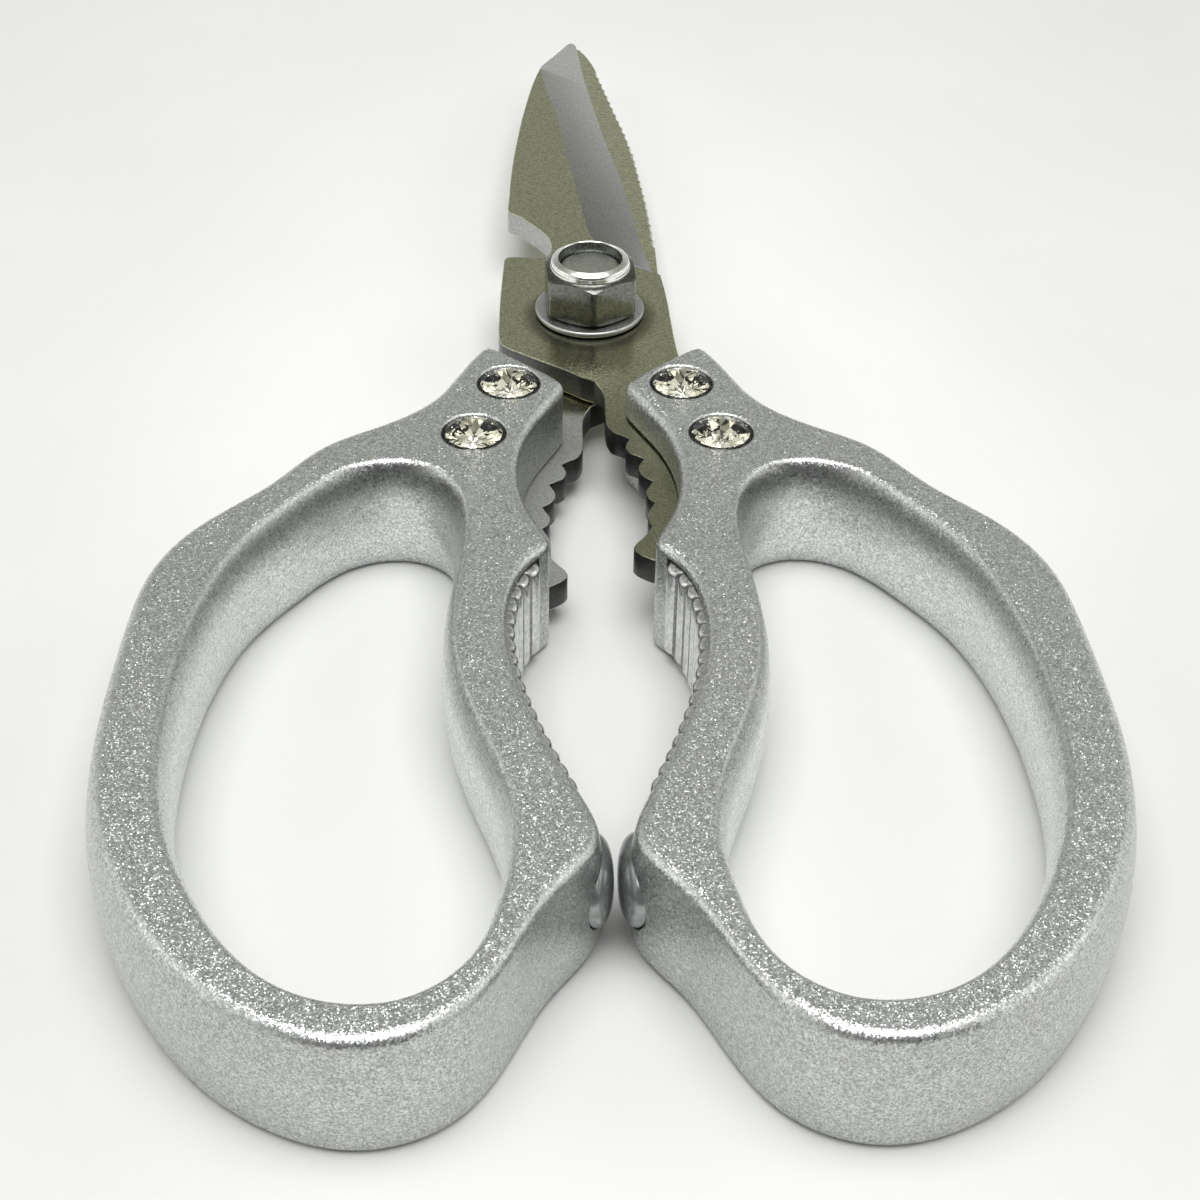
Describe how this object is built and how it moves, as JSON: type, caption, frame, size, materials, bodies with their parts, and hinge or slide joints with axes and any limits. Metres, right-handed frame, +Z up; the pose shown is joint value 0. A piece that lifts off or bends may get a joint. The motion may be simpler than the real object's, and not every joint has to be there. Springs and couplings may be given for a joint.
{
  "type": "kitchen shears",
  "caption": "Heavy-duty kitchen shears: looped cast handles with ribbed nutcracker jaws, toothed tangs, a notched blade and a bolted pivot with lock nut.",
  "frame": {"origin": "bottom centre of the bounding box of the closed shears lying flat, at the underside of the handles", "axes": "+X towards the handle that carries the upper blade, +Y from the handles towards the blade tips, +Z up along the pivot bolt towards the lock nut"},
  "size_m": [0.0928, 0.1966, 0.0158],
  "materials": {
    "handle_paint": "silver metallic flake paint over die-cast metal",
    "blade_steel": "satin ground",
    "pivot_steel": "polished plating",
    "rivet_steel": "satin",
    "jaw_metal": "cast, polished rib tops",
    "crystal": "faceted, warm clear",
    "pad": "smooth grey",
    "nylon": "natural nylon"
  },
  "bodies": {
    "left_half": {"left_handle": "handle_paint", "lower_blade": "blade_steel", "left_jaw_insert": "jaw_metal", "left_stop_pad": "pad", "left_front_rivet": "rivet_steel", "left_rear_rivet": "rivet_steel", "left_front_crystal": "crystal", "left_rear_crystal": "crystal", "pivot_bolt": "pivot_steel", "pivot_washer": "pivot_steel", "lock_nut": "pivot_steel", "lock_nut_insert": "nylon"},
    "right_half": {"right_handle": "handle_paint", "upper_blade": "blade_steel", "right_jaw_insert": "jaw_metal", "right_stop_pad": "pad", "right_front_rivet": "rivet_steel", "right_rear_rivet": "rivet_steel", "right_front_crystal": "crystal", "right_rear_crystal": "crystal"}
  },
  "joints": [
    {"name": "blade_pivot", "type": "hinge", "parent": "left_half", "child": "right_half", "pos_m": [0, 0.01971, 0.0071], "axis": [0, 0, 1], "range_deg": [0, 60]}
  ]
}
